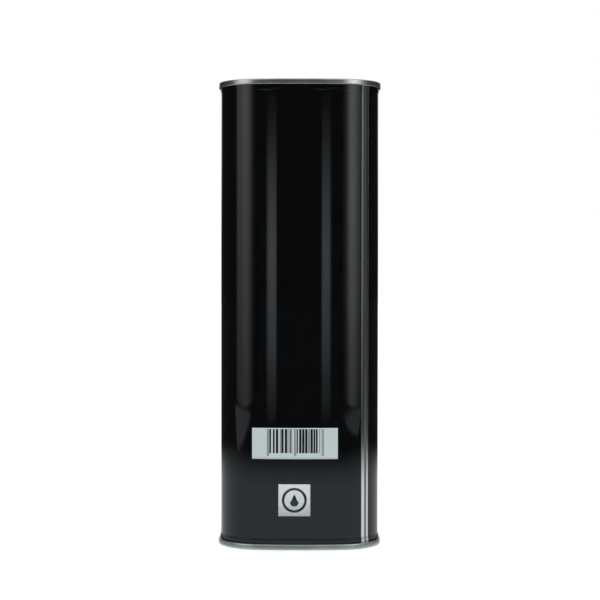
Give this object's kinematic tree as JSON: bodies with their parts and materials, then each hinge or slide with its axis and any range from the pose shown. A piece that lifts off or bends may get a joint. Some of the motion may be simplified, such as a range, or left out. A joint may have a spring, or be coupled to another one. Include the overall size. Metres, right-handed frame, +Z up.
{
  "type": "oil tin",
  "caption": "Tall slim black metal oil tin with bare double-seamed rims, a welded side seam and a pull-up pouring spout with a screw cap sunk into its top.",
  "frame": {"origin": "centre of the bottom rim, on the surface that the tin stands on", "axes": "+Z up along the tin, +X across its broad faces towards the side weld's end, -Y out of the broad face that the picture shows"},
  "size_m": [0.0912, 0.0574, 0.26],
  "materials": {
    "black_lacquer": "gloss",
    "tinplate": "satin",
    "seam_compound": "matte",
    "natural_plastic": "satin",
    "black_plastic": "satin",
    "liner_foam": "matte"
  },
  "bodies": {
    "tin": {"body_shell": "black_lacquer", "top_end": "tinplate", "bottom_end": "tinplate", "top_seam_compound": "seam_compound", "bottom_seam_compound": "seam_compound", "crimp_ring": "tinplate", "spout_flange": "natural_plastic", "spout_diaphragm": "natural_plastic"},
    "spout": {"spout_neck": "natural_plastic", "seal_membrane": "natural_plastic"},
    "pull_ring": {"pull_ring": "natural_plastic"},
    "cap_seal": {"cap_liner": "liner_foam"},
    "cap": {"cap": "black_plastic"},
    "bail_front": {"bail_front": "black_plastic"},
    "bail_back": {"bail_back": "black_plastic"}
  },
  "joints": [
    {"name": "spout_pull", "type": "slide", "parent": "tin", "child": "spout", "axis": [0, 0, 1], "range_m": [0, 0.022], "deforming": ["spout_diaphragm"]},
    {"name": "ring_lift", "type": "hinge", "parent": "spout", "child": "pull_ring", "pos_m": [-0.02336, 0, 0.2461], "axis": [0, -1, 0], "range_deg": [0, 80]},
    {"name": "cap_rise", "type": "slide", "parent": "spout", "child": "cap_seal", "axis": [0, 0, 1], "range_m": [0, 0.0084]},
    {"name": "cap_turn", "type": "hinge", "parent": "cap_seal", "child": "cap", "pos_m": [-0.018, 0, 0.253], "axis": [0, 0, 1], "range_deg": [0, 720]},
    {"name": "bail_front_lift", "type": "hinge", "parent": "cap", "child": "bail_front", "pos_m": [-0.018, -0.00122, 0.2598], "axis": [-1, 0, 0], "range_deg": [0, 90]},
    {"name": "bail_back_lift", "type": "hinge", "parent": "cap", "child": "bail_back", "pos_m": [-0.018, 0.00122, 0.2598], "axis": [1, 0, 0], "range_deg": [0, 90]}
  ],
  "couplings": [
    {"joint": "cap_rise", "follows": "cap_turn", "m_per_rad": 0.000668}
  ]
}
